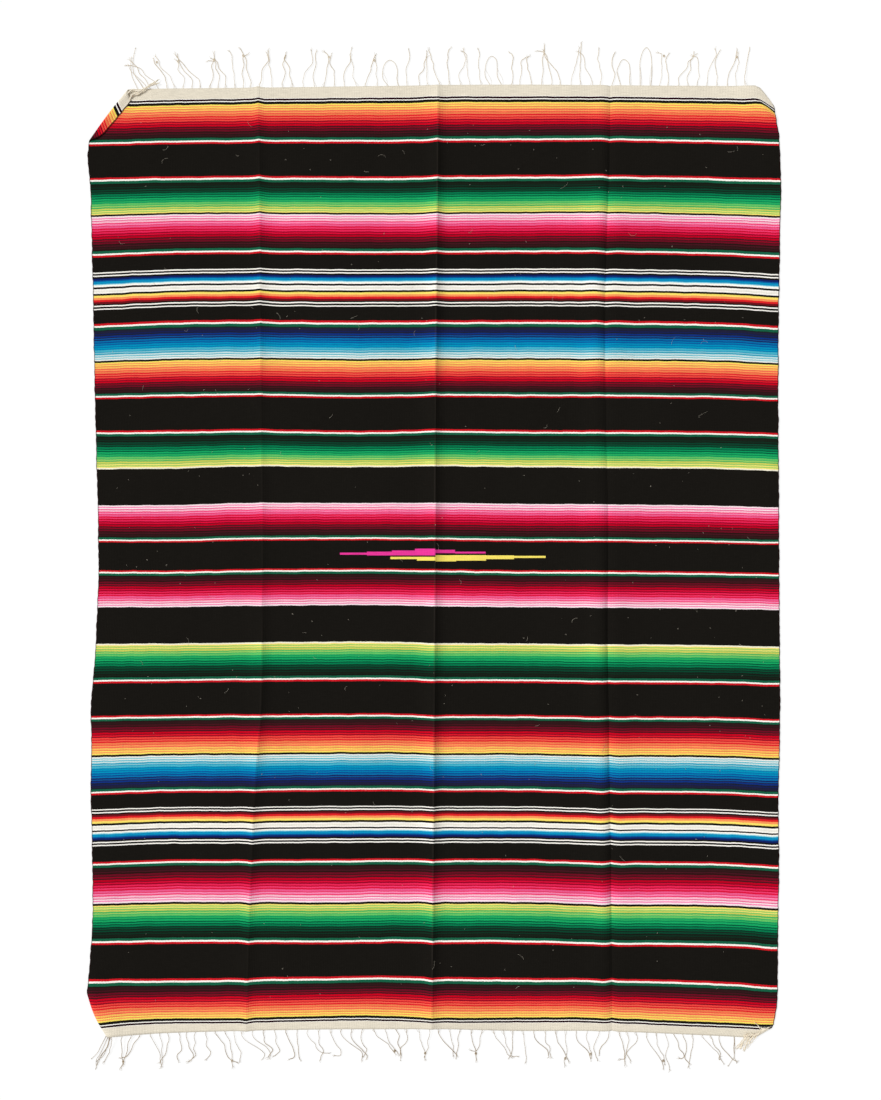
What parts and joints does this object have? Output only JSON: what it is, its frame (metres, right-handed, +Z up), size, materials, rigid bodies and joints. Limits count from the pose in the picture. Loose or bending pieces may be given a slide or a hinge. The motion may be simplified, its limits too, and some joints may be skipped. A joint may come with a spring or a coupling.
{
  "type": "mexican serape",
  "caption": "Open woven serape blanket lying flat, with storage creases, turned corners and a thin warp fringe at both ends.",
  "frame": {"origin": "on the surface that the cloth lies on, under the middle of the cloth", "axes": "+X across the cloth, +Y along it towards the end whose left corner is turned over, +Z up"},
  "size_m": [1.5061, 2.2371, 0.017],
  "materials": {
    "striped_weave": "matt brushed yarn in weft stripes on a black ground",
    "undyed_yarn": "matt undyed cotton yarn"
  },
  "bodies": {
    "root": {"web": "striped_weave", "fringe_top": "undyed_yarn", "fringe_bottom": "undyed_yarn"}
  },
  "joints": []
}
